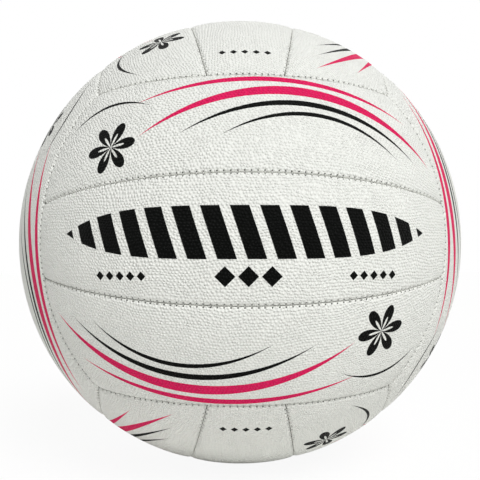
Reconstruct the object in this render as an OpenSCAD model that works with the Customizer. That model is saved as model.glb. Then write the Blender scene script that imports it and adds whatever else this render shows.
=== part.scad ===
// Stitched netball, size 5: eighteen cover panels over fabric linings, a bladder and a valve.
// The origin is the centre of the ball. +Z is up, and the front face looks along -Y.
// Each of the six faces has three parallel strips, and the strips of a face end at the long
// edge of the next face. One face is modelled looking up +Z with its strips along X, and is
// then turned to its place.

/* [Ball] */
// Circumference of the inflated ball
ball_round = 700; // [560:1:760]
// Angle that a middle strip spans across, seen from the centre of the ball
middle_strip_angle = 26.7; // [24:0.1:29]
// Angle that an outer strip spans across, halfway along it
outer_strip_angle = 24.1; // [21:0.1:26.5]

/* [Panels] */
// Thickness of the rubber cover
cover_wall = 1.4; // [1:0.1:2]
// Thickness of the laminated lining
lining_wall = 1.2; // [0.8:0.1:1.8]
// Glue film between a cover and its lining
glue_film = 0.1; // [0.05:0.01:0.2]
// How far the turned-in edge of a panel reaches below the lining
turned_edge = 1.1; // [0.8:0.1:2]
// Gap between two panels at a seam
seam_gap = 0.3; // [0.2:0.05:0.5]

/* [Seams] */
// Depth of the channel that the stitches lie in
channel_depth = 0.6; // [0.5:0.05:0.9]
// Width of the channel
channel_w = 2.2; // [1.9:0.1:3]

/* [Stitches] */
// Diameter of the waxed thread
thread_d = 0.5; // [0.3:0.05:0.6]
// Length of the stitch that crosses a seam
stitch_l = 1.6; // [1.2:0.1:1.8]
// Distance from one stitch to the next
stitch_pitch = 2.65; // [2.4:0.05:4]
// Space without stitches at each end of a seam
seam_end = 2.2; // [1.8:0.1:4]
// Clearance between a stitch and the channel floor
stitch_play = 0.06; // [0.04:0.01:0.1]

/* [Bladder] */
// Thickness of the bladder
bladder_wall = 0.9; // [0.6:0.1:1.4]
// Clearance between the bladder and the turned-in edges of the linings
bladder_play = 0.2; // [0.1:0.05:0.4]

/* [Valve] */
// Diameter of the valve neck that fills the hole in the panel
neck_d = 8.4; // [7:0.1:10]
// Clearance round the neck
neck_play = 0.15; // [0.1:0.05:0.3]
// How far the neck lies below the surface of the ball
neck_sunk = 0.35; // [0.2:0.05:0.6]
// Diameter of the disc that is bonded to the bladder
disc_d = 24; // [18:0.5:28]
// Thickness of the disc
disc_t = 0.9; // [0.7:0.1:1]
// Diameter of the sleeve inside the bladder
sleeve_d = 10; // [9:0.5:12]
// Length of the sleeve inside the bladder
sleeve_l = 12; // [10:0.5:16]
// Diameter of the plug
plug_d = 5.6; // [5:0.1:6]
// Clearance between two valve pieces
valve_play = 0.05; // [0.03:0.01:0.08]
// Diameter of the head of the plug
plug_head_d = 7; // [6.6:0.1:7.4]
// Thickness of the head of the plug
plug_head_t = 1; // [0.8:0.1:1.4]
// Diameter of the channel that a pump needle goes into
needle_d = 2.2; // [2:0.1:2.6]
// Depth of the needle channel below its countersink
needle_l = 11; // [8:0.5:12]
// Depth of the countersink that leads the needle in
lead_in = 0.6; // [0.4:0.1:0.7]

/* [Hidden] */
$fn = 96;

// Overrun for every cut
over = 2;
ball_r = ball_round / (2 * PI);

// Radii of the layers, from the outside in
film_r = ball_r - cover_wall;
lining_r = film_r - glue_film;
lining_in_r = lining_r - lining_wall;
tip_r = lining_in_r - turned_edge;
bladder_r = tip_r - bladder_play;
bladder_in_r = bladder_r - bladder_wall;

// Half the gap of a seam, where the cover and the lining begin
cover_edge = seam_gap / 2;
channel_edge = channel_w / 2;
lining_edge = cover_edge + cover_wall + glue_film;

// Angles of the seams. The long edge of a face is a circle on the ball through two corners of
// a cube, and its middle lies at edge_angle from the centre of the face.
inner_angle = middle_strip_angle / 2;
edge_angle = inner_angle + outer_strip_angle;
corner_share = 1 / sqrt(3);
edge_tilt = atan((sin(edge_angle) - corner_share) / (cos(edge_angle) - corner_share));
edge_half_angle = 90 - edge_angle + edge_tilt;
edge_half_turn = asin(corner_share / sin(edge_half_angle));

// Half the turn of an inner seam, from the middle of the face to the next face's long edge
inner_reach = norm([sin(edge_tilt), cos(edge_tilt) * cos(inner_angle)]);
inner_half_turn = acos(cos(edge_half_angle) / inner_reach)
    - atan2(sin(edge_tilt), cos(edge_tilt) * cos(inner_angle));

// The stitches lie on the floor of the channel
channel_r = ball_r - channel_depth;
stitch_r = channel_r + stitch_play + thread_d / 2;

// Heights of the valve along Z
neck_top = ball_r - neck_sunk;
disc_bottom = bladder_r + valve_play;
disc_top = disc_bottom + disc_t;
sleeve_bottom = bladder_r - bladder_wall - sleeve_l;
head_seat = neck_top - plug_head_t;
needle_bottom = neck_top - lead_in - needle_l;
plug_bottom = sleeve_bottom;
hole_d = neck_d + 2 * neck_play;

FACES = ["front", "back", "left", "right", "top", "bottom"];

// Turns one face, modelled looking up +Z with its strips along X, to its place on the ball
module on_face(face) {
    if (face == "front") rotate([90, 0, 0]) children();
    if (face == "back") rotate([90, 0, 180]) children();
    if (face == "right") rotate([180, -90, 0]) children();
    if (face == "left") rotate([0, 0, 180]) rotate([180, -90, 0]) children();
    if (face == "top") rotate([0, 0, 90]) children();
    if (face == "bottom") rotate([0, 180, 90]) children();
}

// Turns +Z to the axis of a seam circle, which leans by tilt from the face's Y axis
module on_seam(tilt) {
    rotate([-90 - tilt, 0, 0]) children();
}

// Everything within the cone of a long edge about +Z, drawn in by a distance, up to a height.
// The tip is left off, well below the layers of the ball.
module edge_cone(inset, high) {
    low = tip_r * cos(edge_half_angle) / 2;
    steep = tan(edge_half_angle);
    translate([0, 0, low + inset / sin(edge_half_angle)])
        cylinder(h = high - low, r1 = low * steep, r2 = high * steep);
}

// Everything on the outer side of an inner seam, from a distance beyond it
module beyond_inner_seam(distance) {
    side = 2 * (ball_r + over);
    rotate([-inner_angle, 0, 0])
        translate([-side / 2, distance, -side / 2])
            cube(side);
}

// The part of a face between its two ends, drawn in by a distance
module between_ends(inset) {
    intersection() {
        rotate([0, edge_tilt, 0]) edge_cone(inset, ball_r + over);
        rotate([0, -edge_tilt, 0]) edge_cone(inset, ball_r + over);
    }
}

// The wedge that the outer strip on the face's +Y side fills, drawn in by a distance
module outer_wedge(inset) {
    difference() {
        intersection() {
            between_ends(inset);
            beyond_inner_seam(inset);
        }
        on_seam(edge_tilt) edge_cone(-inset, ball_r + 4 * over);
    }
}

// The wedge that the middle strip fills, drawn in by a distance
module middle_wedge(inset) {
    difference() {
        between_ends(inset);
        beyond_inner_seam(-inset);
        rotate([0, 0, 180]) beyond_inner_seam(-inset);
    }
}

// The wedge of a strip: -1 and 1 are the outer strips, 0 is the middle one
module wedge(strip, inset) {
    if (strip == 0) middle_wedge(inset);
    if (strip == 1) outer_wedge(inset);
    if (strip == -1) rotate([0, 0, 180]) outer_wedge(inset);
}

// Everything in the wedge of a strip out to a radius
module block(strip, outer_r, inset) {
    intersection() {
        sphere(outer_r);
        wedge(strip, inset);
    }
}

// The hole for the valve neck in the top face's middle strip
module valve_hole() {
    cylinder(h = ball_r + over, d = hole_d);
}

// Rubber cover of one strip, with the channels and turned-in edges of its seams
module panel(face, strip, with_hole = false) {
    color([0.92, 0.92, 0.90])
        difference() {
            on_face(face)
                difference() {
                    union() {
                        block(strip, ball_r, channel_edge);
                        block(strip, channel_r, cover_edge);
                    }
                    sphere(tip_r);
                    block(strip, film_r, cover_edge + cover_wall);
                }
            if (with_hole) valve_hole();
        }
}

// Laminated fabric bonded inside the cover of one strip
module lining(face, strip, with_hole = false) {
    color([0.82, 0.80, 0.74])
        difference() {
            on_face(face)
                difference() {
                    block(strip, lining_r, lining_edge);
                    sphere(tip_r);
                    block(strip, lining_in_r, lining_edge + lining_wall);
                }
            if (with_hole) valve_hole();
        }
}

// A row of stitches across a seam circle whose axis is +Z, from -half_turn to half_turn
module stitch_row(half_angle, half_turn) {
    turn_r = ball_r * sin(half_angle);
    row_l = 2 * (turn_r * half_turn * PI / 180 - seam_end);
    steps = floor(row_l / stitch_pitch);
    step_angle = stitch_pitch / turn_r * 180 / PI;
    for (i = [0:steps])
        rotate([0, 0, (i - steps / 2) * step_angle])
            rotate([half_angle, 0, 0])
                translate([0, 0, stitch_r])
                    rotate([90, 0, 0])
                        cylinder(h = stitch_l, d = thread_d, center = true, $fn = 16);
}

// Stitches of the two inner seams of a face
module face_stitching(face) {
    color([0.96, 0.96, 0.95])
        on_face(face)
            for (half = [0, 180])
                rotate([0, 0, half]) on_seam(inner_angle) stitch_row(90, inner_half_turn);
}

// Stitches along one long edge of a face: side 0 is its +Y edge, 180 its -Y edge
module edge_stitching(face, side) {
    color([0.96, 0.96, 0.95])
        on_face(face)
            rotate([0, 0, side]) on_seam(edge_tilt) stitch_row(edge_half_angle, edge_half_turn);
}

// Air-tight bladder that fills the ball, open where the valve sleeve goes in
module bladder() {
    color([0.13, 0.13, 0.14])
        difference() {
            sphere(bladder_r);
            sphere(bladder_in_r);
            cylinder(h = ball_r, d = sleeve_d + 2 * valve_play);
        }
}

// Rubber disc on the bladder, with a neck up to the panel and a sleeve down into the bladder
module valve_housing() {
    color([0.20, 0.20, 0.21])
        difference() {
            union() {
                intersection() {
                    difference() {
                        sphere(disc_top);
                        sphere(disc_bottom);
                    }
                    cylinder(h = ball_r, d = disc_d);
                }
                translate([0, 0, sleeve_bottom])
                    cylinder(h = disc_bottom + disc_t / 2 - sleeve_bottom, d = sleeve_d);
                translate([0, 0, disc_bottom]) cylinder(h = neck_top - disc_bottom, d = neck_d);
            }
            translate([0, 0, sleeve_bottom - over])
                cylinder(h = ball_r, d = plug_d + 2 * valve_play);
            translate([0, 0, head_seat - valve_play])
                cylinder(h = ball_r, d = plug_head_d + 2 * valve_play);
        }
}

// Soft core of the valve, with the channel that a pump needle goes into
module valve_plug() {
    color([0.10, 0.10, 0.10])
        difference() {
            union() {
                translate([0, 0, plug_bottom]) cylinder(h = neck_top - plug_bottom, d = plug_d);
                translate([0, 0, head_seat]) cylinder(h = plug_head_t, d = plug_head_d);
            }
            translate([0, 0, needle_bottom]) cylinder(h = needle_l + over, d = needle_d);
            translate([0, 0, neck_top - lead_in])
                cylinder(h = lead_in + over, d1 = needle_d, d2 = needle_d + 2 * (lead_in + over));
        }
}

panel("front", 1);  // front_upper_panel
panel("front", 0);  // front_middle_panel
panel("front", -1);  // front_lower_panel
panel("back", 1);  // back_upper_panel
panel("back", 0);  // back_middle_panel
panel("back", -1);  // back_lower_panel
panel("left", -1);  // left_front_panel
panel("left", 0);  // left_middle_panel
panel("left", 1);  // left_rear_panel
panel("right", 1);  // right_front_panel
panel("right", 0);  // right_middle_panel
panel("right", -1);  // right_rear_panel
panel("top", 1);  // top_left_panel
panel("top", 0, with_hole = true);  // top_middle_panel
panel("top", -1);  // top_right_panel
panel("bottom", 1);  // bottom_left_panel
panel("bottom", 0);  // bottom_middle_panel
panel("bottom", -1);  // bottom_right_panel
lining("front", 1);  // front_upper_lining
lining("front", 0);  // front_middle_lining
lining("front", -1);  // front_lower_lining
lining("back", 1);  // back_upper_lining
lining("back", 0);  // back_middle_lining
lining("back", -1);  // back_lower_lining
lining("left", -1);  // left_front_lining
lining("left", 0);  // left_middle_lining
lining("left", 1);  // left_rear_lining
lining("right", 1);  // right_front_lining
lining("right", 0);  // right_middle_lining
lining("right", -1);  // right_rear_lining
lining("top", 1);  // top_left_lining
lining("top", 0, with_hole = true);  // top_middle_lining
lining("top", -1);  // top_right_lining
lining("bottom", 1);  // bottom_left_lining
lining("bottom", 0);  // bottom_middle_lining
lining("bottom", -1);  // bottom_right_lining
face_stitching("front");  // front_stitching
face_stitching("back");  // back_stitching
face_stitching("left");  // left_stitching
face_stitching("right");  // right_stitching
face_stitching("top");  // top_stitching
face_stitching("bottom");  // bottom_stitching
edge_stitching("front", 0);  // front_top_stitching
edge_stitching("front", 180);  // front_bottom_stitching
edge_stitching("back", 0);  // back_top_stitching
edge_stitching("back", 180);  // back_bottom_stitching
edge_stitching("left", 180);  // left_front_stitching
edge_stitching("left", 0);  // left_rear_stitching
edge_stitching("right", 0);  // right_front_stitching
edge_stitching("right", 180);  // right_rear_stitching
edge_stitching("top", 0);  // top_left_stitching
edge_stitching("top", 180);  // top_right_stitching
edge_stitching("bottom", 0);  // bottom_left_stitching
edge_stitching("bottom", 180);  // bottom_right_stitching
bladder();
valve_housing();
valve_plug();
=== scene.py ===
"""Dresses a stitched size 5 netball: pebbled cover panels with rolled edges, thread, valve and print.

Every face of the ball has three strips. A strip is worked out in its face's own frame, where the
face looks along +Z and its strips run along X, and is then turned to its place.
"""

import math

import bpy
import numpy as np
from mathutils import Matrix, Vector


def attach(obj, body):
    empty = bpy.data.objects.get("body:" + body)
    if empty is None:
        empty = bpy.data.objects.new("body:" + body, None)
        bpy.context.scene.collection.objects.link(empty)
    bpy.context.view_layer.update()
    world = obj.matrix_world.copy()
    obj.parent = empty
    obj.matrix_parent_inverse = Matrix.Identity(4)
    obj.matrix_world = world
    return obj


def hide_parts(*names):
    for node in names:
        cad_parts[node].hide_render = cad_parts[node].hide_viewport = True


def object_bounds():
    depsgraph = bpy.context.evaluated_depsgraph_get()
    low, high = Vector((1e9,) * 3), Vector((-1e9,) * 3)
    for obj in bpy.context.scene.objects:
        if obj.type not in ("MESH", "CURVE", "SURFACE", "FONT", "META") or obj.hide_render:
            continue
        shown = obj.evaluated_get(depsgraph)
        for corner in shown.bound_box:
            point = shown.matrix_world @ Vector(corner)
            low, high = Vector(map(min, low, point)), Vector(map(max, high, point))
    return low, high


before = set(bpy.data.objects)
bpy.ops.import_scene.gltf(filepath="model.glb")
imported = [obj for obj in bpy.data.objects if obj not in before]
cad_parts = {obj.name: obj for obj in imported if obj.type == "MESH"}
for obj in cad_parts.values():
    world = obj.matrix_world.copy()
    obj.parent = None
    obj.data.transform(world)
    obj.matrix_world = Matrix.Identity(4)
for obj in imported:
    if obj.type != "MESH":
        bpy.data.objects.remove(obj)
cad_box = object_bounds()

MM = 0.001
BALL_R = (cad_box[1].x - cad_box[0].x) / 2

# Seams, as in the frame
MIDDLE_STRIP_ANGLE = math.radians(26.7)
OUTER_STRIP_ANGLE = math.radians(24.1)
INNER_ANGLE = MIDDLE_STRIP_ANGLE / 2
EDGE_ANGLE = INNER_ANGLE + OUTER_STRIP_ANGLE
CORNER = 1 / math.sqrt(3)
EDGE_TILT = math.atan((math.sin(EDGE_ANGLE) - CORNER) / (math.cos(EDGE_ANGLE) - CORNER))
EDGE_HALF_ANGLE = math.pi / 2 - EDGE_ANGLE + EDGE_TILT

# Panels
SEAM_EDGE = 0.04 * MM
BAND_AWAY = np.array(
    [0.04, 0.14, 0.26, 0.4, 0.56, 0.72, 0.88, 1.03, 1.22, 1.46, 1.8, 2.2, 2.7, 3.3]) * MM
BAND = len(BAND_AWAY) - 1
FINE_STEP = 0.22 * MM
COARSE = 5
EDGE_DROP, EDGE_ROLL, EDGE_POWER = 0.5 * MM, 2.0 * MM, 1.7
CRACK_DROP, CRACK_ROLL, CRACK_POWER = 0.92 * MM, 0.38 * MM, 2
PILLOW_DROP, PILLOW_REACH, PILLOW_POWER = 0.34 * MM, 5.0 * MM, 1.5
DEEPEST_DROP = 2.2 * MM
SHOULDER = 2.5 * MM
TURNED_EDGE = 3.7 * MM
COVER_WALL = 1.4 * MM
SHARP_ANGLE = math.radians(55)
CROSSING_ROUNDS = 16

# Stitches
STITCH_PITCH = 2.65 * MM
STITCH_STRAY, SLANT_STRAY = 0.07 * MM, 0.09
SEAM_END = 2.2 * MM
THREAD_R = 0.22 * MM
THREAD_SIDES, THREAD_RINGS = 8, 11
THREAD_DEPTH, THREAD_DIVE, DIVE_POWER = 0.88 * MM, 0.75 * MM, 2.4
THREAD_SHORT = 0.1 * MM
TWISTS_PER_MM = 1.6
HOLE_AWAY, HOLE_DROP, HOLE_R = 0.66 * MM, 0.9 * MM, 0.28 * MM
NOTCH_DROP, NOTCH_HALF_W = 0.34 * MM, 0.24 * MM
NOTCH_PAST, NOTCH_FADE = 0.2 * MM, 0.3 * MM
FAR_FROM_HOLE = 9.0 * MM

# Valve
VALVE_HOLE_R = 4.35 * MM
VALVE_CLEARING = 2.1 * VALVE_HOLE_R
VALVE_HOLE_ROUND = [  # Past the hole's wall and below the surface, in millimetres
    (1.2, 0), (0.6, 0.03), (0.3, 0.1), (0.12, 0.22), (0.03, 0.38), (0, 0.6)]
NECK_R, NECK_SUNK = 4.2 * MM, 0.35 * MM
HEAD_R, HEAD_T = 3.5 * MM, 1.0 * MM
PLUG_R, NEEDLE_R, NEEDLE_L, LEAD_IN = 2.8 * MM, 1.1 * MM, 11 * MM, 0.6 * MM
SLEEVE_R, SLEEVE_BOTTOM = 5 * MM, 16.9 * MM
DISC_R, DISC_TOP, DISC_BOTTOM = 12 * MM, 3.05 * MM, 3.95 * MM
DISC_TOP_SAG, DISC_BOTTOM_SAG = 0.65 * MM, 0.6 * MM
SEAT_ROUND, NECK_ROUND, CHANNEL_ROUND, HEAD_ROUND = 0.12 * MM, 0.3 * MM, 0.1 * MM, 0.18 * MM
CHANNEL_TAPER, PLUG_SHORT, CORE_R = 0.2 * MM, 0.4 * MM, 0.02 * MM
VALVE_PLAY = 0.05 * MM
LATHE_STEPS = 96

# Surface of the covers, where places and depths are in millimetres
PEBBLE_PITCH, PEBBLE_JITTER, PEBBLE_REACH, PEBBLE_LEAST = 1.42, 0.4, 0.54, 0.7
PEBBLE_HEIGHT = 0.48 * MM
ROW_RISE = math.sqrt(3) / 2
WIDE_WANDER, SMALL_WANDER = (0.05, 4.0), (0.25, 0.5)
# Painted shade: a dark spot over each needle hole, of this radius and softness.
HOLE_SHADE_R, HOLE_SOFT = 0.295, 0.1
# Painted shade: the cover darkens deeper than this many millimetres in the crack between panels.
CREVICE, CREVICE_SOFT = 1.35, 0.12
INK_SOFT = 0.16
ROSETTE_PETALS, ROSETTE_R = 6, 11.5
SMALL_LOZENGES, SMALL_PITCH = 5, 4.8
END_ROW = 87

RANDOM = np.random.default_rng(11)

FACES = {
    "front": ((1, 0, 0), (0, 0, 1), (0, -1, 0)),
    "back": ((-1, 0, 0), (0, 0, 1), (0, 1, 0)),
    "right": ((0, 0, 1), (0, -1, 0), (1, 0, 0)),
    "left": ((0, 0, 1), (0, 1, 0), (-1, 0, 0)),
    "top": ((0, 1, 0), (-1, 0, 0), (0, 0, 1)),
    "bottom": ((0, -1, 0), (-1, 0, 0), (0, 0, -1)),
}
STRIPS = {
    "front": {1: "upper", 0: "middle", -1: "lower"},
    "back": {1: "upper", 0: "middle", -1: "lower"},
    "right": {1: "front", 0: "middle", -1: "rear"},
    "left": {1: "rear", 0: "middle", -1: "front"},
    "top": {1: "left", 0: "middle", -1: "right"},
    "bottom": {1: "left", 0: "middle", -1: "right"},
}
LONG_EDGES = {
    "front": {1: "top", -1: "bottom"},
    "back": {1: "top", -1: "bottom"},
    "right": {1: "front", -1: "rear"},
    "left": {1: "rear", -1: "front"},
    "top": {1: "left", -1: "right"},
    "bottom": {1: "left", -1: "right"},
}


# Shapes


def turned(face, directions):
    """Directions in a face's frame as directions in the ball's frame."""
    return np.asarray(directions) @ np.array(FACES[face], float)


def leaning(side, tilt):
    """The direction at an angle from the face's middle towards its +Y or -Y side."""
    return np.array([0.0, side * math.sin(tilt), math.cos(tilt)])


def edge_drop(away):
    """How far the cover rolls down towards a seam."""
    roll = np.clip(1 - away / EDGE_ROLL, 0, 1) ** EDGE_POWER
    crack = np.clip(1 - away / CRACK_ROLL, 0, 1) ** CRACK_POWER
    pillow = np.exp(-(away / PILLOW_REACH) ** PILLOW_POWER)
    return EDGE_DROP * roll + CRACK_DROP * crack + PILLOW_DROP * pillow


class Seam:
    """A row of stitches along a circle on the ball, which lies at one angle from an axis."""

    def __init__(self, node, face, side, tilt, half_angle, half_turn):
        self.node = node
        self.axis = turned(face, leaning(side, tilt + math.pi / 2))
        self.middle = turned(face, leaning(side, tilt + math.pi / 2 - half_angle))
        self.middle = self.middle - self.axis * (self.middle @ self.axis)
        self.middle = self.middle / np.linalg.norm(self.middle)
        self.end = np.cross(self.axis, self.middle)
        self.half_angle = half_angle
        self.turn_r = BALL_R * math.sin(half_angle)
        steps = math.floor(2 * (self.turn_r * half_turn - SEAM_END) / STITCH_PITCH)
        places = (np.arange(steps + 1) - steps / 2) * STITCH_PITCH
        self.places = places + RANDOM.normal(0, STITCH_STRAY, steps + 1)
        self.slant = RANDOM.normal(0, SLANT_STRAY, steps + 1)

    def measure(self, directions):
        """How far each direction lies from the seam, signed, and how far along it."""
        polar = np.arccos(np.clip(directions @ self.axis, -1, 1))
        turn = np.arctan2(directions @ self.end, directions @ self.middle)
        return (polar - self.half_angle) * BALL_R, turn * self.turn_r

    def point(self, away, along, depth):
        """The place at a distance from the seam, a distance along it and a depth."""
        polar = (self.half_angle + away / BALL_R)[..., None]
        turn = (along / self.turn_r)[..., None]
        ring = np.cos(turn) * self.middle + np.sin(turn) * self.end
        out = np.cos(polar) * self.axis + np.sin(polar) * ring
        return out * (BALL_R - depth)[..., None]

    def pull(self, away, along):
        """How far the stitches draw the cover in, and how far the nearest needle hole is."""
        after = np.clip(np.searchsorted(self.places, along), 1, len(self.places) - 1)
        earlier = along - self.places[after - 1] < self.places[after] - along
        nearest = after - earlier
        beside = along - self.places[nearest] - self.slant[nearest] * away
        reach = np.abs(away)
        notch = np.exp(-(beside / NOTCH_HALF_W) ** 2)
        notch = notch * np.clip((HOLE_AWAY + NOTCH_PAST - reach) / NOTCH_FADE, 0, 1)
        from_hole = np.hypot(beside, reach - HOLE_AWAY)
        hole = np.exp(-(from_hole / HOLE_R) ** 2)
        return NOTCH_DROP * notch + HOLE_DROP * hole, from_hole


def lower_seam(strip, along, away):
    """Angle across a face of the line that runs a distance above a strip's lower seam."""
    start = INNER_ANGLE if strip else -INNER_ANGLE
    return start + np.arcsin(np.sin(away / BALL_R) / np.cos(along))


def upper_seam(strip, along, away):
    """Angle across a face of the line that runs a distance below a strip's upper seam."""
    if strip:
        return EDGE_TILT + np.arcsin(np.cos(EDGE_HALF_ANGLE + away / BALL_R) / np.cos(along))
    return INNER_ANGLE - np.arcsin(np.sin(away / BALL_R) / np.cos(along))


def end_seam(across, away):
    """Angle along a face of the line that runs a distance before the end of its strips."""
    level = math.cos(EDGE_TILT) * np.cos(across)
    reach = np.hypot(math.sin(EDGE_TILT), level)
    turn = np.arccos(np.cos(EDGE_HALF_ANGLE - away / BALL_R) / reach)
    return turn - np.arctan2(math.sin(EDGE_TILT), level)


INNER_HALF_TURN = float(end_seam(INNER_ANGLE, 0))
EDGE_HALF_TURN = math.atan2(1, math.cos(EDGE_TILT) + math.sin(EDGE_TILT))


def crossings(strip, away, row_steps, column_steps):
    """Directions in a face's frame where the rows and columns of a strip's grid cross.

    The outer rows and columns lie at the given distances from the seams, and the steps divide
    what is between them.
    """
    rim = len(away)
    rows, columns = row_steps + 2 * rim - 1, column_steps + 2 * rim - 1
    low = away[np.minimum(np.arange(rows), rim - 1)][:, None]
    high = low[::-1]
    rise = np.clip((np.arange(rows) - rim + 1) / row_steps, 0, 1)[:, None]
    start = away[np.minimum(np.arange(columns), rim - 1)]
    end = start[::-1]
    run = np.clip((np.arange(columns) - rim + 1) / column_steps, 0, 1)
    along = np.zeros((rows, columns))
    for _ in range(CROSSING_ROUNDS):
        bottom = lower_seam(strip, along, low)
        across = bottom + rise * (upper_seam(strip, along, high) - bottom)
        west = -end_seam(across, start)
        along = west + run * (end_seam(across, end) - west)
    level = np.cos(along)
    return np.stack([np.sin(along), level * np.sin(across), level * np.cos(across)], -1)


def steps_in(length):
    """How many fine steps fill a length, as a whole number of coarse steps."""
    return COARSE * round(length / (FINE_STEP * COARSE))


def loop_round(grid):
    """The outline of a grid, as one closed loop that starts at its first corner."""
    return np.concatenate([grid[0, :-1], grid[:-1, -1], grid[-1, :0:-1], grid[:0:-1, 0]])


def cells_of(grid):
    """The four corners of each cell of a grid, in turn round the cell."""
    return np.stack([grid[:-1, :-1], grid[:-1, 1:], grid[1:, 1:], grid[1:, :-1]], -1)


class Panel:
    """The mesh of one strip of the cover, while it is being made."""

    def __init__(self, face, strip, seams):
        self.face, self.strip, self.seams = face, strip, seams
        self.directions, self.depths, self.from_holes, self.faces = [], [], [], []
        self.count = 0

    def in_ball(self, directions):
        """Directions from the strip's frame as directions in the ball's frame."""
        return turned(self.face, directions * (-1, -1, 1) if self.strip < 0 else directions)

    def add(self, directions, depth, from_hole=FAR_FROM_HOLE):
        """Adds vertices and returns their numbers, in the same layout."""
        shape = directions.shape[:-1]
        self.directions.append(directions.reshape(-1, 3))
        self.depths.append(np.broadcast_to(depth, shape).reshape(-1))
        self.from_holes.append(np.broadcast_to(from_hole, shape).reshape(-1))
        numbers = self.count + np.arange(math.prod(shape)).reshape(shape)
        self.count += math.prod(shape)
        return numbers

    def drops(self, directions):
        """How deep the cover's outer surface lies, and how far the nearest needle hole is."""
        out = self.in_ball(directions)
        drop, nearest = np.zeros(out.shape[:-1]), np.full(out.shape[:-1], FAR_FROM_HOLE)
        for seam in self.seams:
            away, along = seam.measure(out)
            pulled, from_hole = seam.pull(away, along)
            drop = drop + edge_drop(np.abs(away)) + pulled
            nearest = np.minimum(nearest, from_hole)
        return np.minimum(drop, DEEPEST_DROP), nearest

    def fill(self, grid):
        """Fills a grid of vertices with faces that look outward."""
        self.faces.extend(cells_of(grid).reshape(-1, 4).tolist())

    def fill_inside(self, grid, skipped):
        """Fills a grid of vertices with faces that look inward, but for the skipped cells."""
        self.faces.extend(cells_of(grid)[~skipped][:, ::-1].tolist())

    def join(self, upper, lower):
        """Joins two loops by faces that look away from the loops' middle, upper loop on top."""
        cells = np.stack([upper, lower, np.roll(lower, -1), np.roll(upper, -1)], -1)
        self.faces.extend(cells.tolist())

    def fill_coarse(self, numbers, rows, columns, skipped):
        """Fills the middle. Cells beside the fine band also take the fine vertices there."""
        for i, (bottom, top) in enumerate(zip(rows, rows[1:])):
            for j, (left, right) in enumerate(zip(columns, columns[1:])):
                if skipped[i, j]:
                    continue
                cell = [numbers[bottom, left]]
                if i == 0:
                    cell.extend(numbers[bottom, left + 1:right])
                cell.append(numbers[bottom, right])
                if right == columns[-1]:
                    cell.extend(numbers[bottom + 1:top, right])
                cell.append(numbers[top, right])
                if top == rows[-1]:
                    cell.extend(numbers[top, right - 1:left:-1])
                cell.append(numbers[top, left])
                if j == 0:
                    cell.extend(numbers[top - 1:bottom:-1, left])
                self.faces.append([int(number) for number in cell])

    def close_tip(self, tip, inner_tip, stops):
        """Joins the fine loop at the tip of the turned-in edge to the coarse loop inside it."""
        for i, start in enumerate(stops):
            after = stops[(i + 1) % len(stops)] or len(tip)
            fine = [int(tip[n % len(tip)]) for n in range(start, after + 1)]
            inner = [int(inner_tip[i]), int(inner_tip[(i + 1) % len(stops)])]
            self.faces.append(fine[::-1] + inner)

    def ring(self, angles, reach, depth):
        """A ring of vertices round the face's middle, at a distance from it."""
        flat = np.stack([np.cos(angles), np.sin(angles)], -1) * (reach / BALL_R)[:, None]
        rise = np.sqrt(1 - (flat ** 2).sum(-1))
        return self.add(np.concatenate([flat, rise[:, None]], -1), depth)

    def cut_valve_hole(self, outside, places, inside):
        """Fills a block of the grid with rings that close in on the valve hole."""
        flat = loop_round(places)[:, :2]
        angles = np.arctan2(flat[:, 1], flat[:, 0])
        square = np.hypot(flat[:, 0], flat[:, 1]) * BALL_R
        around = np.full(len(square), VALVE_HOLE_R)
        rings = [loop_round(outside), self.ring(angles, (square + around) / 2, 0)]
        for reach, depth in VALVE_HOLE_ROUND:
            rings.append(self.ring(angles, around + reach * MM, depth * MM))
        rings.append(self.ring(angles, around, COVER_WALL))
        rings.append(loop_round(inside))
        for ring, following in zip(rings, rings[1:]):
            self.join(following, ring)

    def mesh(self, name):
        """The finished mesh, with each vertex's place on the strip for the print."""
        directions = np.concatenate(self.directions)
        depths = np.concatenate(self.depths)
        centre = INNER_ANGLE + OUTER_STRIP_ANGLE / 2 if self.strip else 0
        along, across = print_place(directions, centre)
        place = np.stack([along, across, np.concatenate(self.from_holes) / MM], -1)
        vertices = self.in_ball(directions) * (BALL_R - depths)[:, None]
        return new_mesh(name, vertices, self.faces, place)


def print_place(directions, centre):
    """Millimetres along and across a strip's own middle line, which lies at an angle."""
    across = directions @ leaning(1, centre + math.pi / 2)
    toward = directions @ leaning(1, centre)
    along = np.arctan2(directions[:, 0], toward)
    return along * BALL_R / MM, np.arcsin(np.clip(across, -1, 1)) * BALL_R / MM


def new_mesh(name, vertices, faces, place):
    """A mesh with smooth faces, sharp edges and a place vector on each vertex."""
    mesh = bpy.data.meshes.new(name)
    mesh.from_pydata(vertices.tolist(), [], faces)
    mesh.polygons.foreach_set("use_smooth", np.ones(len(faces), bool))
    mesh.set_sharp_from_angle(angle=SHARP_ANGLE)
    attribute = mesh.attributes.new("place", "FLOAT_VECTOR", "POINT")
    attribute.data.foreach_set("vector", place.astype(np.float32).ravel())
    return mesh


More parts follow.
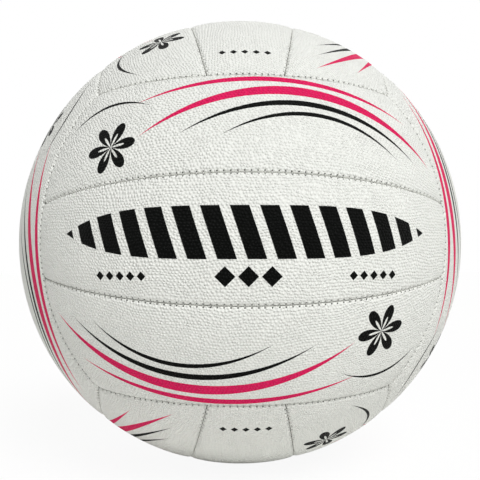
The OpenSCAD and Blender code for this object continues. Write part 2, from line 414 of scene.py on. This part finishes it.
def panel_mesh(name, face, strip, seams):
    """One cover panel: fine beside its seams, coarser in the middle, with a turned-in edge."""
    panel = Panel(face, strip, seams)
    width = BALL_R * (OUTER_STRIP_ANGLE if strip else MIDDLE_STRIP_ANGLE)
    length = 2 * BALL_R * INNER_HALF_TURN
    row_steps = steps_in(width - 2 * BAND_AWAY[-1])
    column_steps = steps_in(length - 2 * BAND_AWAY[-1])
    places = crossings(strip, BAND_AWAY, row_steps, column_steps)
    rows = np.arange(BAND, BAND + row_steps + 1, COARSE)
    columns = np.arange(BAND, BAND + column_steps + 1, COARSE)

    wall_away = np.array([SEAM_EDGE + COVER_WALL])
    inner = crossings(strip, wall_away, len(rows) + 1, len(columns) + 1)

    used = np.zeros(places.shape[:2], bool)
    used[:BAND + 1] = used[-BAND - 1:] = True
    used[:, :BAND + 1] = used[:, -BAND - 1:] = True
    used[np.ix_(rows, columns)] = True
    used_inside = np.ones(inner.shape[:2], bool)
    skipped = np.zeros((len(rows) + 1, len(columns) + 1), bool)
    if (face, strip) == ("top", 0):
        coarse = places[np.ix_(rows, columns)]
        reach = VALVE_CLEARING / BALL_R
        tall = np.where(np.abs(coarse[:, len(columns) // 2, 1]) < reach)[0]
        wide = np.where(np.abs(coarse[len(rows) // 2, :, 0]) < reach)[0]
        used[np.ix_(rows[tall[1:-1]], columns[wide[1:-1]])] = False
        used_inside[np.ix_(tall[1:-1] + 1, wide[1:-1] + 1)] = False
        skipped[np.ix_(tall[1:], wide[1:])] = True

    numbers = np.full(used.shape, -1)
    numbers[used] = panel.add(places[used], *panel.drops(places[used]))
    panel.fill(numbers[:BAND + 1])
    panel.fill(numbers[-BAND - 1:])
    panel.fill(numbers[BAND:-BAND, :BAND + 1])
    panel.fill(numbers[BAND:-BAND, -BAND - 1:])

    inside = np.full(used_inside.shape, -1)
    inside[used_inside] = panel.add(inner[used_inside], COVER_WALL)
    if skipped.any():
        block = np.ix_(rows[tall], columns[wide])
        panel.cut_valve_hole(numbers[block], places[block], inside[np.ix_(tall + 1, wide + 1)])
    panel.fill_coarse(numbers, rows, columns, skipped[1:-1, 1:-1])
    panel.fill_inside(inside, skipped)

    rim, rim_places = loop_round(numbers), loop_round(places)
    shoulder = panel.add(rim_places, SHOULDER)
    tip = panel.add(rim_places, TURNED_EDGE)
    inner_tip = panel.add(loop_round(inner), TURNED_EDGE)
    panel.join(rim, shoulder)
    panel.join(shoulder, tip)
    panel.join(inner_tip, loop_round(inside))
    last_row, last_column = used.shape[0] - 1, used.shape[1] - 1
    stops = np.concatenate([
        [0], columns,
        last_column + np.concatenate([[0], rows]),
        2 * last_column + last_row - np.concatenate([[last_column], columns[::-1]]),
        2 * (last_column + last_row) - np.concatenate([[last_row], rows[::-1]])])
    panel.close_tip(tip, inner_tip, stops)
    return panel.mesh(name)


def thread_mesh(name, seams):
    """The stitches of some seams, each a short arc of thread from one hole to the other."""
    vertices, faces, place = [], [], []
    around = np.arange(THREAD_SIDES) * 2 * math.pi / THREAD_SIDES
    reach = np.linspace(-1, 1, THREAD_RINGS)[:, None]
    away = reach * (HOLE_AWAY - THREAD_SHORT)
    depth = THREAD_DEPTH + THREAD_DIVE * np.abs(reach) ** DIVE_POWER
    tilt = np.arctan(np.gradient(depth[:, 0], away[:, 0]))[:, None]
    across, upward = THREAD_R * np.sin(around), THREAD_R * np.cos(around)
    shape = (THREAD_RINGS, THREAD_SIDES)
    for seam in seams:
        for at, slant in zip(seam.places, seam.slant):
            grid = len(vertices) * math.prod(shape) + np.arange(math.prod(shape)).reshape(shape)
            vertices.append(seam.point(
                away + upward * np.sin(tilt), at + slant * away + across,
                depth - upward * np.cos(tilt)).reshape(-1, 3))
            facts = np.broadcast_arrays(
                away / MM + 0 * around, around / (2 * math.pi), RANDOM.random())
            place.append(np.stack(facts, -1).reshape(-1, 3))
            faces.append(grid[0].tolist())
            faces.append(grid[-1, ::-1].tolist())
            grid = np.concatenate([grid, grid[:, :1]], 1)
            faces.extend(cells_of(grid)[..., ::-1].reshape(-1, 4).tolist())
    return new_mesh(name, np.concatenate(vertices), faces, np.concatenate(place))


def lathe_mesh(name, outline):
    """A closed outline of (radius, depth) pairs, turned round the ball's upright axis."""
    radius, depth = np.array(outline).T[..., None]
    turns = np.arange(LATHE_STEPS) * 2 * math.pi / LATHE_STEPS
    vertices = np.stack(np.broadcast_arrays(
        radius * np.cos(turns), radius * np.sin(turns), BALL_R - depth), -1).reshape(-1, 3)
    grid = np.arange(len(vertices)).reshape(len(outline), -1)
    grid = np.concatenate([grid, grid[:1]])
    grid = np.concatenate([grid, grid[:, :1]], 1)
    return new_mesh(name, vertices, cells_of(grid).reshape(-1, 4).tolist(), vertices / MM)


def rounded(radius, depth, round_r, way):
    """Points round a top edge, from the top face down. The face lies inside it or, at -1, outside."""
    angles = np.radians([0, 22.5, 45, 67.5, 90])
    out = radius - way * round_r * (1 - np.sin(angles))
    return list(zip(out, depth + round_r * (1 - np.cos(angles))))


def valve_housing_mesh(name):
    """Rubber neck, disc and sleeve of the valve."""
    bore, seat = PLUG_R + VALVE_PLAY, NECK_SUNK + HEAD_T + VALVE_PLAY
    return lathe_mesh(name, [
        *rounded(HEAD_R + VALVE_PLAY, NECK_SUNK, SEAT_ROUND, -1),
        (HEAD_R + VALVE_PLAY, seat),
        (bore, seat),
        (bore, SLEEVE_BOTTOM),
        (SLEEVE_R, SLEEVE_BOTTOM),
        (SLEEVE_R, DISC_BOTTOM),
        (DISC_R, DISC_BOTTOM + DISC_BOTTOM_SAG),
        (DISC_R, DISC_TOP + DISC_TOP_SAG),
        (NECK_R, DISC_TOP),
        *reversed(rounded(NECK_R, NECK_SUNK, NECK_ROUND, 1)),
    ])


def valve_plug_mesh(name):
    """Soft core of the valve with its needle channel."""
    bottom = SLEEVE_BOTTOM - PLUG_SHORT
    return lathe_mesh(name, [
        *rounded(NEEDLE_R + LEAD_IN, NECK_SUNK, CHANNEL_ROUND, -1),
        (NEEDLE_R, NECK_SUNK + LEAD_IN + CHANNEL_TAPER),
        (NEEDLE_R, NECK_SUNK + NEEDLE_L),
        (CORE_R, NECK_SUNK + NEEDLE_L),
        (CORE_R, bottom),
        (PLUG_R, bottom),
        (PLUG_R, NECK_SUNK + HEAD_T),
        (HEAD_R, NECK_SUNK + HEAD_T),
        *reversed(rounded(HEAD_R, NECK_SUNK, HEAD_ROUND, 1)),
    ])


# Materials


def srgb(red, green, blue):
    """A linear colour from sRGB values up to 255."""
    def linear(value):
        share = value / 255
        return share / 12.92 if share <= 0.04045 else ((share + 0.055) / 1.055) ** 2.4
    return (linear(red), linear(green), linear(blue), 1.0)


# The second white is darker: painted shade in the valleys between pebbles, and random tone.
WHITE, WHITE_SHADE_AND_TONE = srgb(245, 246, 241), srgb(234, 235, 230)
PINK, PINK_WORN = srgb(222, 26, 90), srgb(232, 62, 118)
BLACK, BLACK_WORN = srgb(4, 5, 4), srgb(20, 22, 20)
# Painted shade for the needle holes.
HOLE_SHADE = srgb(24, 23, 22)
# Painted shade for the depths of the crack between panels.
SHADED = srgb(165, 163, 158)
THREAD_LIGHT, THREAD_DARK = srgb(236, 236, 231), srgb(192, 192, 187)
VALVE_RUBBER = srgb(206, 206, 202)
PLUG_RUBBER = srgb(58, 58, 60)
BUTYL = srgb(44, 43, 42)
CLOTH_LIGHT, CLOTH_WEAVE_SHADE = srgb(226, 221, 208), srgb(196, 190, 176)


def connect(tree, value, socket):
    """Gives a socket a value: a field, another socket, or plain numbers."""
    if isinstance(value, Field):
        value = value.socket
    if isinstance(value, bpy.types.NodeSocket):
        tree.links.new(value, socket)
    else:
        socket.default_value = value


class Field:
    """A number that shader nodes work out, so that a pattern can be written as a formula."""

    def __init__(self, tree, socket):
        self.tree, self.socket = tree, socket

    def math(self, operation, *others, clamp=False):
        node = self.tree.nodes.new("ShaderNodeMath")
        node.operation = operation
        node.use_clamp = clamp
        for socket, value in zip(node.inputs, (self, *others)):
            connect(self.tree, value, socket)
        return Field(self.tree, node.outputs[0])

    def __add__(self, other):
        return self.math("ADD", other)

    def __sub__(self, other):
        return self.math("SUBTRACT", other)

    def __mul__(self, other):
        return self.math("MULTIPLY", other)

    def __truediv__(self, other):
        return self.math("DIVIDE", other)

    def __neg__(self):
        return self * -1

    def abs(self):
        return self.math("ABSOLUTE")

    def least(self, other):
        return self.math("MINIMUM", other)

    def most(self, other):
        return self.math("MAXIMUM", other)

    def clamped(self):
        return self.math("ADD", 0.0, clamp=True)


class Material:
    """A principled material with short ways to add procedural nodes."""

    def __init__(self, name, roughness, specular):
        self.material = bpy.data.materials.new(name)
        self.material.use_nodes = True
        self.tree = self.material.node_tree
        self.shader = self.tree.nodes["Principled BSDF"]
        self.shader.inputs["Roughness"].default_value = roughness
        self.shader.inputs["Specular IOR Level"].default_value = specular

    def node(self, kind, inputs=(), **settings):
        node = self.tree.nodes.new(kind)
        for key, value in settings.items():
            setattr(node, key, value)
        for key, value in dict(inputs).items():
            connect(self.tree, value, node.inputs[key])
        return node

    def field(self, socket):
        return Field(self.tree, socket)

    def depth(self):
        """Millimetres below the ball's surface."""
        local = self.node("ShaderNodeTexCoord").outputs["Object"]
        return (-self.field(self.vector("LENGTH", local)) + BALL_R) / MM

    def place(self):
        """The place vector of the mesh, and its three numbers."""
        vector = self.node("ShaderNodeAttribute", attribute_name="place").outputs["Vector"]
        parts = self.node("ShaderNodeSeparateXYZ", {"Vector": vector})
        return vector, *[self.field(parts.outputs[axis]) for axis in "XYZ"]

    def split(self, vector):
        """The first two numbers of a vector."""
        parts = self.node("ShaderNodeSeparateXYZ", {"Vector": vector})
        return self.field(parts.outputs["X"]), self.field(parts.outputs["Y"])

    def joined(self, x, y):
        """A flat vector of two numbers."""
        return self.node("ShaderNodeCombineXYZ", {"X": x, "Y": y}).outputs["Vector"]

    def vector(self, operation, *values):
        node = self.node("ShaderNodeVectorMath", enumerate(values), operation=operation)
        return node.outputs["Value" if operation == "LENGTH" else "Vector"]

    def noise(self, vector, scale, detail):
        """A noise as a number, and as a vector of three."""
        node = self.node(
            "ShaderNodeTexNoise", {"Vector": vector, "Scale": scale, "Detail": detail})
        return self.field(node.outputs["Fac"]), node.outputs["Color"]

    def wander(self, vector, scale, reach):
        """A flat vector that wanders within about half its reach over the surface."""
        shift = self.vector("SUBTRACT", self.noise(vector, scale, 1.0)[1], (0.5, 0.5, 0.5))
        return self.vector("MULTIPLY", shift, (reach, reach, 0.0))

    def blend(self, amount, first, second):
        node = self.node("ShaderNodeMix", {0: amount, 6: first, 7: second}, data_type="RGBA")
        return node.outputs[2]

    def finish(self, colour, height, distance):
        """Sets the colour and the bump and returns the material."""
        bump = self.node("ShaderNodeBump", {"Height": height, "Distance": distance})
        connect(self.tree, bump.outputs["Normal"], self.shader.inputs["Normal"])
        connect(self.tree, colour, self.shader.inputs["Base Color"])
        return self.material


def pebbles(made, vector):
    """Height of a close-packed, slightly uneven field of round pebbles, from 0 up to 1.

    A Voronoi texture has its cells in a square, so the place is sheared for it and the way to
    the middle of the nearest cell is sheared back, which packs the pebbles in threes.
    """
    flat = made.vector("ADD", vector, made.wander(vector, *WIDE_WANDER))
    flat = made.vector("ADD", flat, made.wander(vector, *SMALL_WANDER))
    across, up = made.split(flat)
    row = up * (1 / ROW_RISE / PEBBLE_PITCH)
    column = across / PEBBLE_PITCH - row * 0.5
    cells = made.node(
        "ShaderNodeTexVoronoi",
        {"Vector": made.joined(column, row), "Scale": 1.0, "Randomness": PEBBLE_JITTER},
        voronoi_dimensions="2D", feature="F1")
    middle_column, middle_row = made.split(cells.outputs["Position"])
    rise = (row - middle_row) * ROW_RISE
    run = column - middle_column + (row - middle_row) * 0.5
    distance = (rise * rise + run * run).math("SQRT")
    turn = (distance / PEBBLE_REACH).least(1.0) * math.pi
    size = made.split(cells.outputs["Color"])[0] * (1 - PEBBLE_LEAST) + PEBBLE_LEAST
    return (turn.math("COSINE") * 0.5 + 0.5) * size


def crescent(along, across, middle, bend, half, width):
    """A bow that tapers to points: over 0 inside it, in millimetres from its edge."""
    taper = along / half
    taper = taper * taper
    away = (across - middle - taper * bend).abs()
    return (-taper + 1) * (width / 2) - away


def rosette(east, north):
    """Split petals round a point: over 0 inside them."""
    reach = (east * east + north * north).math("SQRT")
    petal = (north.math("ARCTAN2", east) * (ROSETTE_PETALS / 2)).math("COSINE").abs()
    outer = petal.math("POWER", 0.7) * ROSETTE_R - reach
    slit = reach - petal.math("POWER", 6.0) * (ROSETTE_R * 0.55)
    return outer.least(slit)


def repeated(along, pitch):
    """Distance from the nearest of a row of places, one of which is at 0."""
    share = along / pitch + 0.5
    return ((share - share.math("FLOOR") - 0.5) * pitch).abs()


def barred_leaf(along, across, half_l, half_w, pitch, bar, slant):
    """A long leaf cut into slanted bars: over 0 inside them."""
    share = (along / half_l).math("POWER", 4.0)
    leaf = (-share + 1) * half_w - across.abs()
    return leaf.least(-repeated(along + across * slant, pitch) + bar / 2)


def lozenges(along, across, count, pitch, size):
    """A short row of lozenges: over 0 inside them."""
    row = -along.abs() + count * pitch / 2
    shift = 0 if count % 2 else pitch / 2
    return row.least(-repeated(along + shift, pitch) - across.abs() + size)


def outer_print(along, across):
    """Nested bows over most of the strip and a rosette, as pink shapes and black shapes."""
    pink = [
        crescent(along - 22, across, 14.5, -18.0, 66, 4.7),
        crescent(along - 14, across, 20.5, -7.0, 60, 2.9),
    ]
    black = [
        crescent(along - 25, across, 8.2, -14.0, 52, 2.7),
        crescent(along - 28, across, 3.2, -11.0, 38, 2.0),
        crescent(along + 60, across, 17.0, -6.0, 20, 1.4),
        rosette(along + 57, across + 5),
    ]
    return pink, black


def front_print(along, across):
    """A barred leaf over rows of lozenges."""
    below = across + 14.2
    return [], [
        barred_leaf(along, across - 2.6, 80, 10.2, 11.4, 7.4, 0.33),
        lozenges(along, below, 3, 9.0, 4.0),
        lozenges(along - 52, below, SMALL_LOZENGES, SMALL_PITCH, 1.9),
        lozenges(along + 52, below, SMALL_LOZENGES, SMALL_PITCH, 1.9),
    ]


def plain_print(along, across):
    """Small lozenges by the ends of the strip, away from the valve."""
    return [], [lozenges(across, along.abs() - END_ROW, SMALL_LOZENGES, SMALL_PITCH, 1.6)]


def side_print(along, across):
    """A rosette, and small lozenges by the ends of the strip."""
    return [], [rosette(along, across), *plain_print(along, across)[1]]


def cover_material(name, pattern):
    """Pebbled off-white rubber with its print."""
    made = Material(name, roughness=0.5, specular=0.05)
    vector, along, across, from_hole = made.place()
    dome = pebbles(made, vector)
    cloud = made.noise(vector, 0.05, 3.0)[0]
    grain = made.noise(vector, 3.2, 2.0)[0]
    mottle = made.noise(vector, 1.1, 3.0)[0]
    # Painted shade: darker in the valleys between pebbles, with random tone from grain and cloud.
    light = (dome * 0.8 + grain * 0.3 + cloud * 0.25 - 0.15).clamped()
    colour = made.blend(light, WHITE_SHADE_AND_TONE, WHITE)
    for shapes, ink, worn in zip(pattern(along, across), (PINK, BLACK), (PINK_WORN, BLACK_WORN)):
        mask = along * 0 - 1
        for shape in shapes:
            mask = mask.most(shape)
        mask = ((mask + mottle * 0.12 - 0.06) / INK_SOFT + 0.5).clamped()
        patchy = made.blend((dome * 0.4 + mottle * 0.6 - 0.25).clamped(), ink, worn)
        colour = made.blend(mask, colour, patchy)
    # Painted shade: the cover darkens deep in the crack between panels.
    crack_shade = ((made.depth() - CREVICE) / CREVICE_SOFT).clamped()
    # Painted shade: a dark spot over each needle hole.
    hole_shade = ((-from_hole + HOLE_SHADE_R) / HOLE_SOFT + 0.5).clamped()
    colour = made.blend(hole_shade, made.blend(crack_shade, colour, SHADED), HOLE_SHADE)
    return made.finish(colour, dome + grain * 0.15, PEBBLE_HEIGHT)


def thread_material(name):
    """Waxed twisted thread."""
    made = Material(name, roughness=0.55, specular=0.4)
    _, length, turns, seed = made.place()
    twist = length * TWISTS_PER_MM + turns * 2 + seed
    strands = (twist * (2 * math.pi)).math("SINE") * 0.5 + 0.5
    # Painted shade in the grooves between strands, with a random tone for each stitch.
    shade = (strands * 0.6 + seed * 0.4).clamped()
    return made.finish(made.blend(shade, THREAD_DARK, THREAD_LIGHT), strands, 0.06 * MM)


def rubber_material(name, colour, roughness):
    """Moulded rubber with a faint grain."""
    made = Material(name, roughness=roughness, specular=0.45)
    local = made.node("ShaderNodeTexCoord").outputs["Object"]
    grain = made.noise(local, 900.0, 3.0)[0]
    darker = [*(value * 0.8 for value in colour[:3]), 1.0]
    return made.finish(made.blend(grain, darker, colour), grain, 0.04 * MM)


def lining_material(name):
    """Laminated woven cotton."""
    made = Material(name, roughness=0.85, specular=0.2)
    local = made.node("ShaderNodeTexCoord").outputs["Object"]
    warp, weft = [
        made.field(made.node(
            "ShaderNodeTexWave", {"Vector": local, "Scale": 400.0, "Distortion": 0.6},
            bands_direction=direction).outputs["Fac"])
        for direction in ("X", "Z")]
    # Painted shade: the cloth is darker where the weave lies low.
    height = warp * weft
    return made.finish(made.blend(height, CLOTH_WEAVE_SHADE, CLOTH_LIGHT), height, 0.1 * MM)


# Pieces


def add_piece(name, mesh, node, material):
    mesh.materials.append(material)
    piece = bpy.data.objects.new(name, mesh)
    bpy.context.scene.collection.objects.link(piece)
    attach(piece, "root")
    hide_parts(node)


inner_seams, edge_seams = {}, {}
for face in FACES:
    for side in (1, -1):
        inner_seams[face, side] = Seam(
            f"{face}_stitching", face, side, INNER_ANGLE, math.pi / 2, INNER_HALF_TURN)
        edge_seams[face, side] = Seam(
            f"{face}_{LONG_EDGES[face][side]}_stitching", face, side, EDGE_TILT,
            EDGE_HALF_ANGLE, EDGE_HALF_TURN)


def strip_seams(face, strip):
    """The four seams round a strip."""
    ends = []
    for way in (1, -1):
        axis = turned(face, (-way * math.sin(EDGE_TILT), 0, math.cos(EDGE_TILT)))
        ends.append(max(edge_seams.values(), key=lambda seam: seam.axis @ axis))
    if strip == 0:
        return [inner_seams[face, 1], inner_seams[face, -1], *ends]
    return [inner_seams[face, strip], edge_seams[face, strip], *ends]


outer_cover = cover_material("cover_outer_strips", outer_print)
front_cover = cover_material("cover_front_strips", front_print)
side_cover = cover_material("cover_side_strips", side_print)
plain_cover = cover_material("cover_plain_strip", plain_print)
middle_covers = {
    "front": front_cover, "back": front_cover, "left": side_cover, "right": side_cover,
    "bottom": side_cover, "top": plain_cover,
}
for face in FACES:
    for strip, label in STRIPS[face].items():
        name = f"{face}_{label}_cover"
        add_piece(
            name, panel_mesh(name, face, strip, strip_seams(face, strip)),
            f"{face}_{label}_panel", outer_cover if strip else middle_covers[face])

waxed_thread = thread_material("waxed_thread")
seams_of = {}
for seam in [*inner_seams.values(), *edge_seams.values()]:
    seams_of.setdefault(seam.node, []).append(seam)
for node, seams in seams_of.items():
    name = node.replace("_stitching", "_thread")
    add_piece(name, thread_mesh(name, seams), node, waxed_thread)

add_piece("valve_rubber", valve_housing_mesh("valve_rubber"), "valve_housing",
          rubber_material("valve_rubber", VALVE_RUBBER, 0.5))
add_piece("valve_core", valve_plug_mesh("valve_core"), "valve_plug",
          rubber_material("valve_core", PLUG_RUBBER, 0.45))

lining_cloth = lining_material("lining_cloth")
butyl = rubber_material("bladder_butyl", BUTYL, 0.4)
for node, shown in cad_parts.items():
    if not shown.hide_render:
        shown.data.materials.clear()
        shown.data.materials.append(lining_cloth if node.endswith("_lining") else butyl)


# Floor, light and camera

CAMERA_DISTANCE = 3.438 * BALL_R
CAMERA_TURN = Vector((math.radians(0.604), math.radians(0.145), math.radians(-1.659)))
CAMERA_PITCH = math.radians(0.16)
LENS, SENSOR = 54.58, 36.0
FLOOR_HALF = 3.0
FLOOR_COLOUR = srgb(250, 250, 248)
FLOOR_SHINE = 0.93
SKY, SKY_ABOVE, SKY_LEFT, SKY_BEHIND = 0.01, 0.19, 0.18, 0.5
KEY_FROM, KEY_ANGLE, KEY_POWER = (0.269, -0.634, 0.725), math.radians(30), 2.8


def floor_material():
    """Near-white floor that the camera sees as white, with the ball's faint shadow."""
    made = Material("floor", roughness=0.9, specular=0.0)
    made.shader.inputs["Base Color"].default_value = FLOOR_COLOUR
    seen = made.field(made.node("ShaderNodeLightPath").outputs["Is Camera Ray"])
    glow = made.node("ShaderNodeEmission", {"Color": (1, 1, 1, 1), "Strength": 1.0})
    mixed = made.node("ShaderNodeMixShader", {
        0: seen * FLOOR_SHINE, 1: made.shader.outputs[0], 2: glow.outputs[0]})
    connect(made.tree, mixed.outputs[0], made.tree.nodes["Material Output"].inputs["Surface"])
    return made.material


def add_floor():
    mesh = bpy.data.meshes.new("floor")
    corners = [(x * FLOOR_HALF, y * FLOOR_HALF, 0) for x, y in ((-1, -1), (1, -1), (1, 1), (-1, 1))]
    mesh.from_pydata(corners, [], [(0, 1, 2, 3)])
    mesh.materials.append(floor_material())
    floor = bpy.data.objects.new("floor", mesh)
    floor.location.z = cad_box[0].z
    bpy.context.scene.collection.objects.link(floor)


def set_world():
    """White to the eye and in reflections, with soft light from above, the left and behind."""
    world = bpy.data.worlds.new("studio")
    bpy.context.scene.world = world
    world.use_nodes = True
    tree = world.node_tree
    rays = tree.nodes.new("ShaderNodeLightPath")
    seen = Field(tree, rays.outputs["Is Camera Ray"])
    seen = seen.most(Field(tree, rays.outputs["Is Glossy Ray"]))
    seen = seen.most(Field(tree, rays.outputs["Is Transmission Ray"]))
    parts = tree.nodes.new("ShaderNodeSeparateXYZ")
    connect(tree, tree.nodes.new("ShaderNodeTexCoord").outputs["Generated"], parts.inputs[0])
    above = Field(tree, parts.outputs["Z"]).most(0.0)
    left = (-Field(tree, parts.outputs["X"])).most(0.0)
    behind = Field(tree, parts.outputs["Y"]).most(0.0)
    soft = above * SKY_ABOVE + left * SKY_LEFT + behind * SKY_BEHIND + SKY
    light = tree.nodes["Background"]
    light.inputs["Color"].default_value = (1, 1, 1, 1)
    connect(tree, seen * (-soft + 1) + soft, light.inputs["Strength"])


def add_key():
    """A broad lamp above the camera's right shoulder."""
    lamp = bpy.data.lights.new("key", "SUN")
    lamp.angle = KEY_ANGLE
    lamp.energy = KEY_POWER
    thing = bpy.data.objects.new("key", lamp)
    thing.rotation_euler = (-Vector(KEY_FROM)).to_track_quat("-Z", "Y").to_euler()
    bpy.context.scene.collection.objects.link(thing)


def add_camera():
    camera = bpy.data.cameras.new("camera")
    camera.lens = LENS
    camera.sensor_width = SENSOR
    thing = bpy.data.objects.new("camera", camera)
    thing.matrix_world = (
        Matrix.Rotation(CAMERA_TURN.length, 4, CAMERA_TURN.normalized())
        @ Matrix.Translation((0, -CAMERA_DISTANCE, 0))
        @ Matrix.Rotation(math.radians(90) + CAMERA_PITCH, 4, "X"))
    bpy.context.scene.collection.objects.link(thing)
    bpy.context.scene.camera = thing


add_floor()
set_world()
add_key()
add_camera()
bpy.context.scene.view_settings.view_transform = "Standard"
